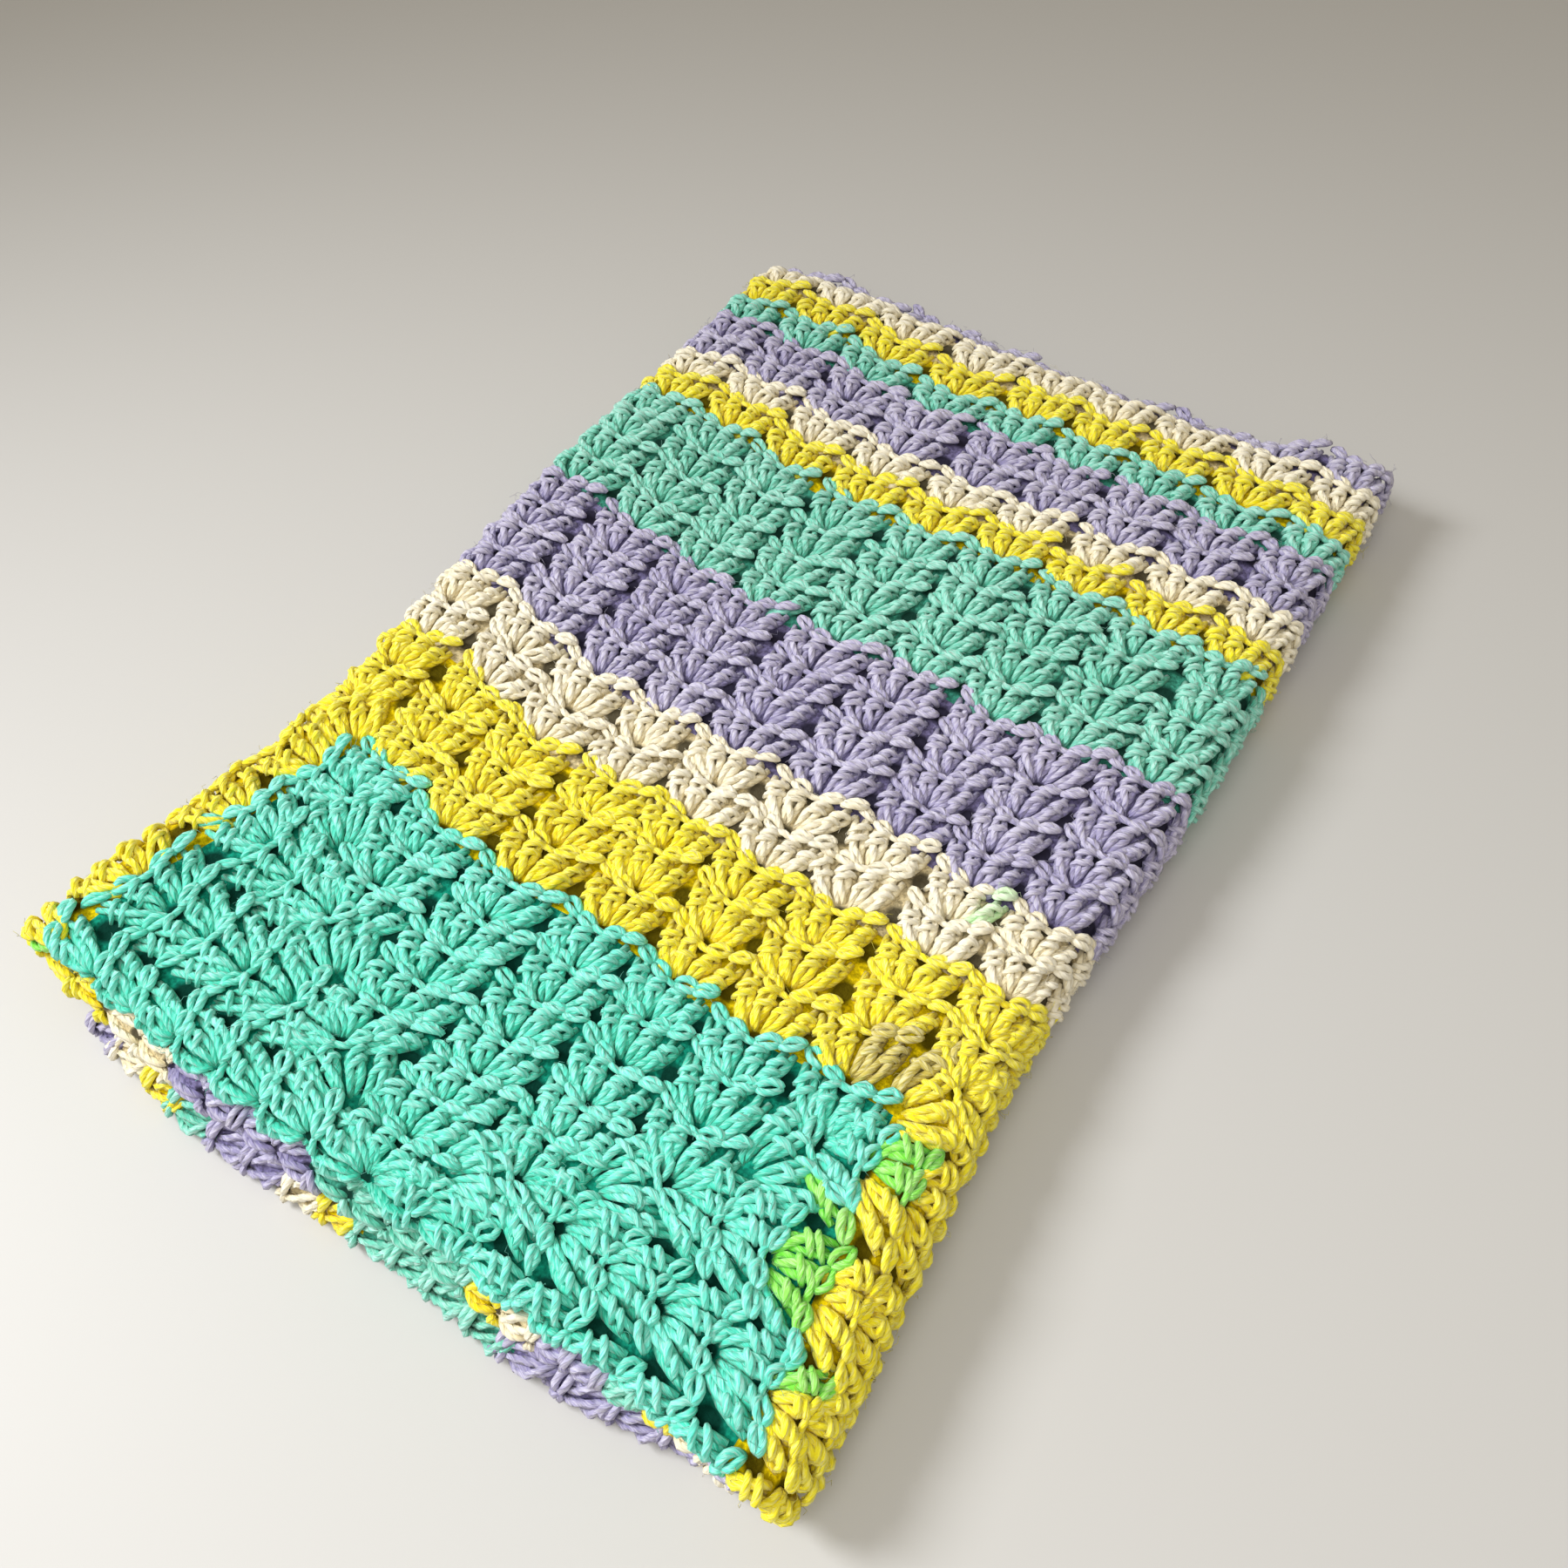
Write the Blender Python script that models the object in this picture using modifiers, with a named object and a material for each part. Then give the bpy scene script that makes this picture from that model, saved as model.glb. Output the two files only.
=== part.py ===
"""A square crochet throw worked in rounds of coloured yarn, folded in half and then in thirds.

Each colour band of the square is one closed solid ring. The flat square is carried through one
folding function, so every band keeps its true place through the front fold and both side folds.
Three groups of solids come out of it: the upper bundle, the lower flap that lies on the table,
and the side fold that joins them and bends when the bundle is turned over off the flap.
"""

import math

import bmesh
import bpy
from mathutils import Vector

# Driving dimensions, in metres.
ROUND_HEIGHT = 0.0125
FABRIC_THICKNESS = 0.0041
LAYER_PITCH = 0.0044
GAP = 0.0003
LEFT_CREASE = -0.113
RIGHT_CREASE = 0.1012
EDGE_SETBACK = 0.0015
FOLD_CLEARANCE = 0.0005
TOP_STRETCH = 1.06

# Colour bands from the centre outwards: name, number of crochet rounds, yarn.
BANDS = (
    ("teal_centre", 7, "teal"),
    ("yellow_band", 3, "yellow"),
    ("cream_band", 2, "cream"),
    ("lavender_band", 4, "lavender"),
    ("mint_band", 4, "mint"),
    ("yellow_stripe", 1, "yellow"),
    ("cream_stripe", 1, "cream"),
    ("lavender_stripe", 2, "lavender"),
    ("mint_stripe", 1, "mint"),
    ("yellow_edging", 1, "yellow"),
    ("cream_edging", 1, "cream"),
    ("lavender_border", 1, "lavender"),
)
YARN_COLOURS = {
    "teal": (0.115, 0.610, 0.455),
    "mint": (0.170, 0.540, 0.400),
    "yellow": (0.870, 0.740, 0.030),
    "cream": (0.830, 0.750, 0.520),
    "lavender": (0.380, 0.330, 0.580),
}
YARN_ROUGHNESS = 0.95

# How finely the folds are divided.
FRONT_FOLD_STEPS = 6
LEFT_FOLD_STEPS = 8
RIGHT_FOLD_STEPS = 12

# Values that follow from the driving dimensions.
HALF_SIDE = ROUND_HEIGHT * sum(rounds for _, rounds, _ in BANDS)
HALF_PITCH = LAYER_PITCH / 2
LEFT_RADIUS = LAYER_PITCH
RIGHT_RADIUS = 2 * LAYER_PITCH
LEFT_FOLD_LENGTH = math.pi * LEFT_RADIUS
RIGHT_FOLD_LENGTH = math.pi * RIGHT_RADIUS
TOP_PAIR_HEIGHT = FABRIC_THICKNESS / 2 + 4.5 * LAYER_PITCH
FLAP_WIDTH = RIGHT_CREASE - LEFT_CREASE - EDGE_SETBACK
FRONT_FOLD_REACH = math.pi * HALF_PITCH / 2
FOLD_DEPTH = HALF_PITCH + FABRIC_THICKNESS / 2
FOLD_CENTRE_Y = FOLD_DEPTH - (HALF_SIDE - FRONT_FOLD_REACH + FOLD_DEPTH) / 2
CENTRE_SHIFT = (LEFT_CREASE - LEFT_RADIUS + RIGHT_CREASE + RIGHT_RADIUS) / 2

# The bundle turns over about a line inside the side fold, at the middle of its height.
HINGE_X = RIGHT_CREASE + 0.010 - CENTRE_SHIFT
HINGE_Z = TOP_PAIR_HEIGHT - RIGHT_RADIUS


def path_length(across):
    """Distance along the folded cloth, from the centre, of a point this far across the flat square."""
    crease, fold_length = (
        (LEFT_CREASE, LEFT_FOLD_LENGTH) if across < 0 else (RIGHT_CREASE, RIGHT_FOLD_LENGTH)
    )
    distance = abs(across)
    flat_crease = abs(crease) / TOP_STRETCH
    if distance <= flat_crease:
        folded = distance * TOP_STRETCH
    else:
        beyond = abs(crease) + fold_length + FLAP_WIDTH
        share = (distance - flat_crease) / (HALF_SIDE - flat_crease)
        folded = abs(crease) + share * (beyond - abs(crease))
    return math.copysign(folded, across)


def cross_section(length):
    """Point and outward direction, in the XZ plane, of the doubled cloth at this path length."""
    right = length > 0
    crease = RIGHT_CREASE if right else LEFT_CREASE
    radius = RIGHT_RADIUS if right else LEFT_RADIUS
    side = 1 if right else -1
    past = side * (length - crease)
    if past <= 0:
        return Vector((length, TOP_PAIR_HEIGHT)), Vector((0, 1))
    turn = min(past / radius, math.pi)
    run = max(past - math.pi * radius, 0)
    point = Vector(
        (
            crease + side * (radius * math.sin(turn) - run),
            TOP_PAIR_HEIGHT - radius * (1 - math.cos(turn)),
        )
    )
    return point, Vector((side * math.sin(turn), math.cos(turn)))


def fold(length, along):
    """Where a point of the cloth's middle surface lies once the throw is folded."""
    point, outward = cross_section(length)
    if abs(along) < FRONT_FOLD_REACH:
        turn = along / HALF_PITCH
        offset = HALF_PITCH * math.sin(turn)
        y = FOLD_CENTRE_Y - HALF_PITCH * math.cos(turn)
    else:
        offset = math.copysign(HALF_PITCH, along)
        y = FOLD_CENTRE_Y + abs(along) - FRONT_FOLD_REACH
    place = point + outward * offset
    return Vector((place.x - CENTRE_SHIFT, y, place.y))


def steps(start, end, count):
    """Evenly spaced values from start to end."""
    return [start + (end - start) * i / count for i in range(count + 1)]


def grid_lines(edges, bends, low, high):
    """Sorted grid values from low to high: every edge, and each bend that isn't almost on an edge."""
    lines = [low, high] + [edge for edge in edges if low < edge < high]
    for bend in bends:
        if low < bend < high and all(abs(bend - line) > 2 * GAP for line in lines):
            lines.append(bend)
    return sorted(lines)


def band_surface(name, inner, outer, low, high, side=0):
    """The open folded surface of one band's ring between two path lengths.

    side 1 keeps the far half of the square, -1 the near half, and 0 both.
    """
    margin = GAP / 2
    reach = outer - margin
    hole = inner + margin
    left, right = path_length(-reach), path_length(reach)
    hole_left, hole_right = path_length(-hole), path_length(hole)
    low, high = max(low + margin, left), min(high - margin, right)
    bends = steps(LEFT_CREASE - LEFT_FOLD_LENGTH, LEFT_CREASE, LEFT_FOLD_STEPS)
    bends += steps(RIGHT_CREASE, RIGHT_CREASE + RIGHT_FOLD_LENGTH, RIGHT_FOLD_STEPS)
    ring_edges = [hole_left, hole_right] if inner else []
    lengths = grid_lines(ring_edges, bends, low, high)
    front_bends = steps(-FRONT_FOLD_REACH, FRONT_FOLD_REACH, FRONT_FOLD_STEPS)
    near = -reach if side <= 0 else 0
    far = reach if side >= 0 else 0
    alongs = grid_lines([-hole, hole] if inner else [], front_bends, near, far)

    shell = bmesh.new()
    corners = {}

    def corner(i, j):
        if (i, j) not in corners:
            corners[i, j] = shell.verts.new(fold(lengths[i], alongs[j]))
        return corners[i, j]

    for i in range(len(lengths) - 1):
        middle_length = (lengths[i] + lengths[i + 1]) / 2
        for j in range(len(alongs) - 1):
            middle_along = (alongs[j] + alongs[j + 1]) / 2
            inside_hole = (
                inner > 0
                and hole_left < middle_length < hole_right
                and abs(middle_along) < hole
            )
            if not inside_hole:
                shell.faces.new(
                    (corner(i, j), corner(i + 1, j), corner(i + 1, j + 1), corner(i, j + 1))
                )
    mesh = bpy.data.meshes.new(name)
    shell.to_mesh(mesh)
    shell.free()
    return mesh


def yarn_material(yarn):
    """The soft matt material of one yarn colour."""
    material = bpy.data.materials.get(yarn) or bpy.data.materials.new(yarn)
    material.use_nodes = True
    shader = material.node_tree.nodes["Principled BSDF"]
    shader.inputs["Base Color"].default_value = (*YARN_COLOURS[yarn], 1)
    shader.inputs["Roughness"].default_value = YARN_ROUGHNESS
    shader.inputs["Metallic"].default_value = 0
    material.diffuse_color = (*YARN_COLOURS[yarn], 1)
    return material


def add_cloth(mesh, yarn, parent, collection):
    """One band piece: the open surface with its thickness, its yarn and its parent."""
    piece = bpy.data.objects.new(mesh.name, mesh)
    collection.objects.link(piece)
    mesh.materials.append(yarn_material(yarn))
    mesh.shade_smooth()
    mesh.set_sharp_from_angle(angle=math.radians(40))
    thickness = piece.modifiers.new("Cloth thickness", "SOLIDIFY")
    thickness.thickness = FABRIC_THICKNESS
    thickness.offset = 0
    if parent is not None:
        piece.parent = parent
        piece.matrix_parent_inverse = parent.matrix_world.inverted()
    return piece


def build_panel(prefix, low, high, split, parent, collection):
    """Every band that crosses the stretch of cloth from low to high along the path.

    A band whose arm lies outside the stretch falls into a far and a near strip, so split
    says how those two are named.
    """
    level = 0
    for name, rounds, yarn in BANDS:
        inner, outer = level * ROUND_HEIGHT, (level + rounds) * ROUND_HEIGHT
        level += rounds
        if path_length(outer) <= low + GAP:
            continue
        in_one_piece = not split or path_length(inner) < high - GAP
        sides = {f"{prefix}_{name}": 0}
        if not in_one_piece:
            sides = {f"{prefix}_outside_{name}": 1, f"{prefix}_inside_{name}": -1}
        for full_name, side in sides.items():
            if side:
                mesh = strip_surface(full_name, inner, outer, low, high, side)
            else:
                mesh = band_surface(full_name, inner, outer, low, high)
            add_cloth(mesh, yarn, parent, collection)


def strip_surface(name, inner, outer, low, high, side):
    """The open surface of the strip of a band that runs across the path on one side of the fold."""
    margin = GAP / 2
    bends = steps(RIGHT_CREASE, RIGHT_CREASE + RIGHT_FOLD_LENGTH, RIGHT_FOLD_STEPS)
    lengths = grid_lines([], bends, low + margin, high - margin)
    alongs = [side * (inner + margin), side * (outer - margin)]
    if side < 0:
        alongs.reverse()
    shell = bmesh.new()
    rows = [[shell.verts.new(fold(length, along)) for along in alongs] for length in lengths]
    for row, after in zip(rows, rows[1:]):
        shell.faces.new((row[0], after[0], after[1], row[1]))
    mesh = bpy.data.meshes.new(name)
    shell.to_mesh(mesh)
    shell.free()
    return mesh


def main():
    for thing in list(bpy.data.objects):
        bpy.data.objects.remove(thing, do_unlink=True)
    collection = bpy.data.collections.new("folded_throw_blanket")
    bpy.context.scene.collection.children.link(collection)
    hinge = bpy.data.objects.new("side_fold_hinge", None)
    hinge.location = (HINGE_X, 0, HINGE_Z)
    collection.objects.link(hinge)
    bpy.context.view_layer.update()
    fold_end = RIGHT_CREASE + RIGHT_FOLD_LENGTH
    build_panel("bundle", path_length(-HALF_SIDE), RIGHT_CREASE, False, hinge, collection)
    build_panel("flap", fold_end, path_length(HALF_SIDE), False, None, collection)
    build_panel(
        "fold",
        RIGHT_CREASE + FOLD_CLEARANCE,
        fold_end - FOLD_CLEARANCE,
        True,
        None,
        collection,
    )


main()
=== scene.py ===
"""A folded crochet throw, built stitch by stitch in the space its CAD bands hold.

The throw is a square of crochet worked in rounds. Each round is made of shells, fans of four double
crochets worked into one hole of the round before. Every shell is drawn on the flat square as paths
of yarn, the paths are carried through one folding function, and a tube of yarn is swept along each.
"""

import math

import bpy
import numpy as np
from mathutils import Matrix, Vector


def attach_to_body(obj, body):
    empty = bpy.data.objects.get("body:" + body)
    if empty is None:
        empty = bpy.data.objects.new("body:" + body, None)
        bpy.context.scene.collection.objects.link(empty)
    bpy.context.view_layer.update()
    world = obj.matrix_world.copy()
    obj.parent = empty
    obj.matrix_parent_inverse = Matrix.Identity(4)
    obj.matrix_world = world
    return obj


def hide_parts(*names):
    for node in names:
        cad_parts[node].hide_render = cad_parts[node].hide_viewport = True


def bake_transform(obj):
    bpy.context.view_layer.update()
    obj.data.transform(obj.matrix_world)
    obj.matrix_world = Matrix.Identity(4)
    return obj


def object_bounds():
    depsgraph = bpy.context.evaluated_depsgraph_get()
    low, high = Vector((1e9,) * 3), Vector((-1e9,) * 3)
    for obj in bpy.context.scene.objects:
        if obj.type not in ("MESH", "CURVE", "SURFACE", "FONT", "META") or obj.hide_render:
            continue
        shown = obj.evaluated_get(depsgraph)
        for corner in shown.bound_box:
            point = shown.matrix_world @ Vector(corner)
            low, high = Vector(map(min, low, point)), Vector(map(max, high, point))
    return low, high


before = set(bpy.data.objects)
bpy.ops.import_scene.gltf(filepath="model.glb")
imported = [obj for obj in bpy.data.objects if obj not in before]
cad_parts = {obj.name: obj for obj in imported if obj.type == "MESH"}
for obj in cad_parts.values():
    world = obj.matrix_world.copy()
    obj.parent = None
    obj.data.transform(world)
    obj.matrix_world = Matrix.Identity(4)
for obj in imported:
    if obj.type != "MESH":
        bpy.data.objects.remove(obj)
cad_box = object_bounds()

UPPER_BODY = "upper_bundle"
LOWER_BODY = "lower_flap"
MILLIMETRE = 0.001

# The crochet square: colour bands from the centre outwards, with their number of rounds and yarn.
BANDS = (
    ("teal_centre", 7, "teal"),
    ("yellow_band", 3, "yellow"),
    ("cream_band", 2, "cream"),
    ("lavender_band", 4, "lavender"),
    ("mint_band", 4, "mint"),
    ("yellow_stripe", 1, "yellow"),
    ("cream_stripe", 1, "cream"),
    ("lavender_stripe", 2, "lavender"),
    ("mint_stripe", 1, "mint"),
    ("yellow_edging", 1, "yellow"),
    ("cream_edging", 1, "cream"),
    ("lavender_border", 1, "lavender"),
)
BAND_OF_ROUND = [band for band, (_, rounds, _) in enumerate(BANDS) for _ in range(rounds)]
ROUNDS = len(BAND_OF_ROUND)
ROUND_HEIGHT = 0.0125
SHELL_PITCH = 2 * ROUND_HEIGHT
HALF_SIDE = ROUNDS * ROUND_HEIGHT

# The folded stack, from the box of the CAD model.
BOX_LOW, BOX_HIGH = cad_box
LAYERS = 6
CLOTH_THICKNESS = 0.0041
LAYER_PITCH = (BOX_HIGH.z - BOX_LOW.z - CLOTH_THICKNESS) / (LAYERS - 1)
HALF_PITCH = LAYER_PITCH / 2
LEFT_RADIUS = LAYER_PITCH
RIGHT_RADIUS = 2 * LAYER_PITCH
OUTER_REACH = HALF_PITCH + CLOTH_THICKNESS / 2
LEFT_CREASE = BOX_LOW.x + LEFT_RADIUS + OUTER_REACH
RIGHT_CREASE = BOX_HIGH.x - RIGHT_RADIUS - OUTER_REACH
TOP_PAIR_HEIGHT = BOX_HIGH.z - OUTER_REACH
FRONT_CENTRE_Y = BOX_LOW.y + OUTER_REACH
FRONT_REACH = math.pi * HALF_PITCH / 2
LEFT_FOLD_LENGTH = math.pi * LEFT_RADIUS
RIGHT_FOLD_LENGTH = math.pi * RIGHT_RADIUS
RIGHT_FOLD_END = RIGHT_CREASE + RIGHT_FOLD_LENGTH
LEFT_FLAP_SETBACK = 0.0015
LEFT_FLAP_LENGTH = RIGHT_CREASE - LEFT_CREASE - LEFT_FLAP_SETBACK
RIGHT_FLAP_LENGTH = 0.196

# In the names below, a pair that ends in _ACROSS, _ALONG or _X says where a change starts in that
# direction and over what length it is made. Along is measured from the front fold.

# Across the throw: where the middle of the square lies, how much the cloth is stretched, and how the
# left and right of it differ.
CENTRE_X_FRONT = 0.0027
CENTRE_X_FAR = 0.0060
CENTRE_X_ALONG = (0.0, 0.06)
STRETCH_MIDDLE = 1.068
STRETCH_FRONT = 0.118
STRETCH_FRONT_REACH = 0.090
STRETCH_FAR = 0.022
STRETCH_FAR_ALONG = (0.15, 0.2)
LEFT_LOOSENESS = 1.03
RIGHT_LOOSENESS = 0.925
RIGHT_FOLD_END_ACROSS = 0.141
LEFT_FLAP_EASE = 0.207
LEFT_FLAP_POWER = 2.5

# Along the throw: how much the cloth is stretched, and how much of that the front fold takes back.
ALONG_RATE = 1.032
ALONG_PULL = 0.011
ALONG_PULL_REACH = 0.067

# How far the rows have slipped: back at the left end, and forward at the front right.
LEFT_SLIP = 0.012
LEFT_SLIP_ACROSS = (0.03, 0.08)
LEFT_SLIP_ALONG = (0.0, 0.05)
LEFT_SLIP_LOSS = 0.7
LEFT_SLIP_LOSS_ALONG = (0.2, 0.15)
RIGHT_SLIP = 0.0075
RIGHT_SLIP_ACROSS = (0.0, 0.06)
RIGHT_SLIP_LOSS_ALONG = (0.03, 0.08)

# The outline of the folded stack. Each bulge is its size, the place of its middle and its width:
# along the left and right sides, and across the front, where the lowest layer sticks out.
LEFT_BULGES = ((-0.0070, 0.0, 0.038), (0.0063, 0.108, 0.048))
RIGHT_BULGES = ((0.0035, 0.0, 0.055), (-0.0045, 0.115, 0.060))
RIGHT_MARGIN = 0.0020
FRONT_BULGES = ((0.0165, -0.045, 0.075), (0.0105, 0.056, 0.040))
FRONT_DEPTH = 0.05

# The top layer comes forward at the front right, and droops at the far edge. The droop ends short of
# the side fold, which bends cleanly only where it is level.
FRONT_RIGHT_PULL = 0.0060
FRONT_RIGHT_X = (0.065, 0.055)
DROOP_REACH = 0.016
DROOP_LENGTH = 0.020
DROOP_END_X = (0.065, 0.035)
DROOP_FORWARD = 0.004
DROOP_DOWN = 0.009

# How far the rows wander, how far the top swells and is lumpy, and how far it settles.
DRIFT = 0.0010
SWELL = 0.0007
LUMPINESS = 0.0003
SETTLING = 0.0005

# How softly yarn that would sink into the table is pressed flat on it.
PRESS = 0.0005

# A smooth random field is a sum of waves: how many, how their lengths vary, and how high the sum is.
WAVES = 7
WAVE_LENGTHS = (0.7, 1.6)
FIELD_HEIGHT = 1.3
SEED = 11
rng = np.random.default_rng(SEED)


def ramp(value, start, length):
    """Eases from 0 to 1 as the value goes from the start to this length past it."""
    t = np.clip((value - start) / length, 0, 1)
    return t * t * (3 - 2 * t)


def bulge(value, size, middle, width):
    """A soft bump of this size and width that is highest at the middle."""
    return size * np.exp(-(((value - middle) / width) ** 2))


def bulges(value, shapes):
    """The sum of several soft bumps."""
    return sum(bulge(value, *shape) for shape in shapes)


class Wander:
    """A smooth random field over the flat square, from -1 to 1 or so."""

    def __init__(self, wavelength):
        angle = rng.uniform(0, 2 * math.pi, WAVES)
        number = 2 * math.pi / (wavelength * rng.uniform(*WAVE_LENGTHS, WAVES))
        self.kx = np.cos(angle) * number
        self.ky = np.sin(angle) * number
        self.phase = rng.uniform(0, 2 * math.pi, WAVES)
        self.scale = FIELD_HEIGHT / math.sqrt(WAVES)

    def __call__(self, x, y):
        total = np.zeros(np.shape(x))
        for kx, ky, phase in zip(self.kx, self.ky, self.phase):
            total += np.sin(kx * x + ky * y + phase)
        return total * self.scale


drift_across = Wander(wavelength=0.09)
drift_along = Wander(wavelength=0.08)
swell = Wander(wavelength=0.11)
lumps = Wander(wavelength=0.035)


def row_shift(across, along):
    """How far the rows have slipped along the throw at these points of the square."""
    depth = np.abs(along)
    left = LEFT_SLIP * ramp(-across, *LEFT_SLIP_ACROSS) * ramp(depth, *LEFT_SLIP_ALONG)
    left = left * (1 - LEFT_SLIP_LOSS * ramp(depth, *LEFT_SLIP_LOSS_ALONG))
    right = RIGHT_SLIP * ramp(across, *RIGHT_SLIP_ACROSS)
    right = right * (1 - ramp(depth, *RIGHT_SLIP_LOSS_ALONG))
    return left - right


def path_across(across, depth):
    """How far along the folded cross-section, from the middle of the top, points of the square are."""
    stretch = (
        STRETCH_MIDDLE
        + bulge(depth, STRETCH_FRONT, 0, STRETCH_FRONT_REACH)
        + STRETCH_FAR * ramp(depth, *STRETCH_FAR_ALONG)
    )
    centre = CENTRE_X_FRONT + (CENTRE_X_FAR - CENTRE_X_FRONT) * ramp(depth, *CENTRE_X_ALONG)
    left_rate = stretch * LEFT_LOOSENESS
    right_rate = stretch * RIGHT_LOOSENESS
    flat_left = (LEFT_CREASE - centre) / left_rate
    flat_right = (RIGHT_CREASE - centre) / right_rate

    on_top = centre + across * np.where(across < 0, left_rate, right_rate)
    share = np.clip((across - flat_left) / (-HALF_SIDE - flat_left), 0, None)
    eased = (1 + LEFT_FLAP_EASE) * share - LEFT_FLAP_EASE * share**LEFT_FLAP_POWER
    left = LEFT_CREASE - eased * (LEFT_FOLD_LENGTH + LEFT_FLAP_LENGTH)
    round_share = (across - flat_right) / (RIGHT_FOLD_END_ACROSS - flat_right)
    flap_share = (across - RIGHT_FOLD_END_ACROSS) / (HALF_SIDE - RIGHT_FOLD_END_ACROSS)
    right = RIGHT_CREASE + np.where(
        flap_share > 0,
        RIGHT_FOLD_LENGTH + flap_share * RIGHT_FLAP_LENGTH,
        round_share * RIGHT_FOLD_LENGTH,
    )
    return np.where(across < flat_left, left, np.where(across > flat_right, right, on_top))


def cross_section(length):
    """Points and outward directions, in the XZ plane, of the doubled cloth at these path lengths."""
    right = length > 0
    crease = np.where(right, RIGHT_CREASE, LEFT_CREASE)
    radius = np.where(right, RIGHT_RADIUS, LEFT_RADIUS)
    side = np.where(right, 1.0, -1.0)
    past = side * (length - crease)
    turn = np.clip(past / radius, 0, math.pi)
    run = np.maximum(past - math.pi * radius, 0)
    flat_x = np.where(past <= 0, length, crease)
    x = flat_x + side * (radius * np.sin(turn) - run)
    z = TOP_PAIR_HEIGHT - radius * (1 - np.cos(turn))
    return x, z, side * np.sin(turn), np.cos(turn)


def outline(x, y):
    """Widens and narrows the folded stack into its real outline."""
    depth = y - BOX_LOW.y
    left = BOX_LOW.x + bulges(depth, LEFT_BULGES)
    right = BOX_HIGH.x + RIGHT_MARGIN + bulges(depth, RIGHT_BULGES)
    share = (x - BOX_LOW.x) / (BOX_HIGH.x - BOX_LOW.x)
    return left + share * (right - left)


def near_front(y):
    """1 at the front of the folded stack, falling softly to 0 behind it."""
    return bulge(y, 1, BOX_LOW.y, FRONT_DEPTH)


def slacken(x, y, z):
    """Moves points of a neatly folded stack to where the loose cloth lies."""
    height = z / BOX_HIGH.z
    y = y - FRONT_RIGHT_PULL * ramp(x, *FRONT_RIGHT_X) * near_front(y) * height
    y = y - bulges(x, FRONT_BULGES) * (1 - height) * near_front(y)
    droop = ramp(y, BOX_HIGH.y - DROOP_REACH, DROOP_LENGTH) * (1 - ramp(x, *DROOP_END_X))
    y = y - DROOP_FORWARD * droop * height
    z = z - DROOP_DOWN * droop * height
    x = outline(x, y)
    z = z + height * (SWELL * swell(x, y) + LUMPINESS * lumps(x, y) - SETTLING)
    return x, y, z


def fold(across, along, lift):
    """Where points of the flat square lie in the folded throw; lift is the height above the cloth."""
    across = across + DRIFT * drift_across(across, along)
    along = along + DRIFT * drift_along(across, along)
    along = along + row_shift(across, along)
    depth = np.abs(along)
    path = ALONG_RATE * depth - ALONG_PULL * np.tanh(depth / ALONG_PULL_REACH)
    path = np.sign(along) * path
    turn = np.clip(path / HALF_PITCH, -math.pi / 2, math.pi / 2)
    offset = np.sin(turn) * (HALF_PITCH + lift)
    y = FRONT_CENTRE_Y - np.cos(turn) * (HALF_PITCH + lift)
    y = y + np.maximum(np.abs(path) - FRONT_REACH, 0)

    x, z, outward_x, outward_z = cross_section(path_across(across, depth))
    return np.stack(slacken(x + outward_x * offset, y, z + outward_z * offset), axis=-1)


# One shell of four posts, drawn from the hole it is worked into: across in shell pitches, out in
# rounds, and height in millimetres above the middle of the cloth. Each of these lists runs from the
# hole to the top of a post.
INNER_POST = ((0.044, 0.18), (0.070, 0.32), (0.100, 0.51), (0.128, 0.74), (0.155, 0.99))
OUTER_POST = ((0.092, 0.06), (0.182, 0.16), (0.270, 0.37), (0.344, 0.67), (0.404, 1.08))
POST_HEIGHTS = (-1.4, 0.0, 0.40, 0.20, -0.6)

# A post is three strands laid round its centre line. They twist by this part of a turn. How far
# they are from the line, which is less upwards, and their radii are in millimetres.
POST_STRANDS = 3
POST_TWIST = 0.42
POST_SPREAD = (0.45, 1.00, 1.38, 1.66, 1.52)
POST_FLATNESS = 0.55
STRAND_RADII_UP_POST = (0.62, 0.96, 1.13, 1.15, 0.94)

# The posts' centre lines, which side of the middle they are on, and where their twist starts.
POST_LINES = (
    (OUTER_POST, -1, 0.05),
    (INNER_POST, -1, 0.40),
    (INNER_POST, 1, 0.20),
    (OUTER_POST, 1, 0.60),
)

# Each post from left to right: where the yarn that crosses it is, where the V loop that closes it
# is, how far the loop climbs to the right, and how much higher it stands.
POSTS = (
    ((-0.325, 0.58), (-0.400, 1.18), -0.11, -0.3),
    ((-0.115, 0.66), (-0.168, 1.06), -0.06, -0.1),
    ((0.115, 0.66), (0.174, 1.07), 0.07, 0.5),
    ((0.325, 0.58), (0.405, 1.18), 0.10, 0.8),
)

# Yarn crosses a post twice, the second time further out, where the posts are further apart. Its
# points are across, out, how much its slant adds to out, and height, with the share of the lean.
WRAP_ROWS = (0.0, 0.22)
WRAP_FAN = 0.5
WRAP_SLANT = -0.5
WRAP_LINE = (
    (-0.090, -0.12, -0.16, -0.4, 0.0),
    (-0.052, -0.07, -0.10, 1.7, 0.0),
    (0.0, 0.0, 0.0, 2.2, 0.3),
    (0.052, 0.07, 0.10, 1.7, 0.0),
    (0.090, 0.12, 0.16, -0.4, 0.0),
)
WRAP_RADII = (0.70, 0.92, 1.02, 0.92, 0.70)

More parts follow.
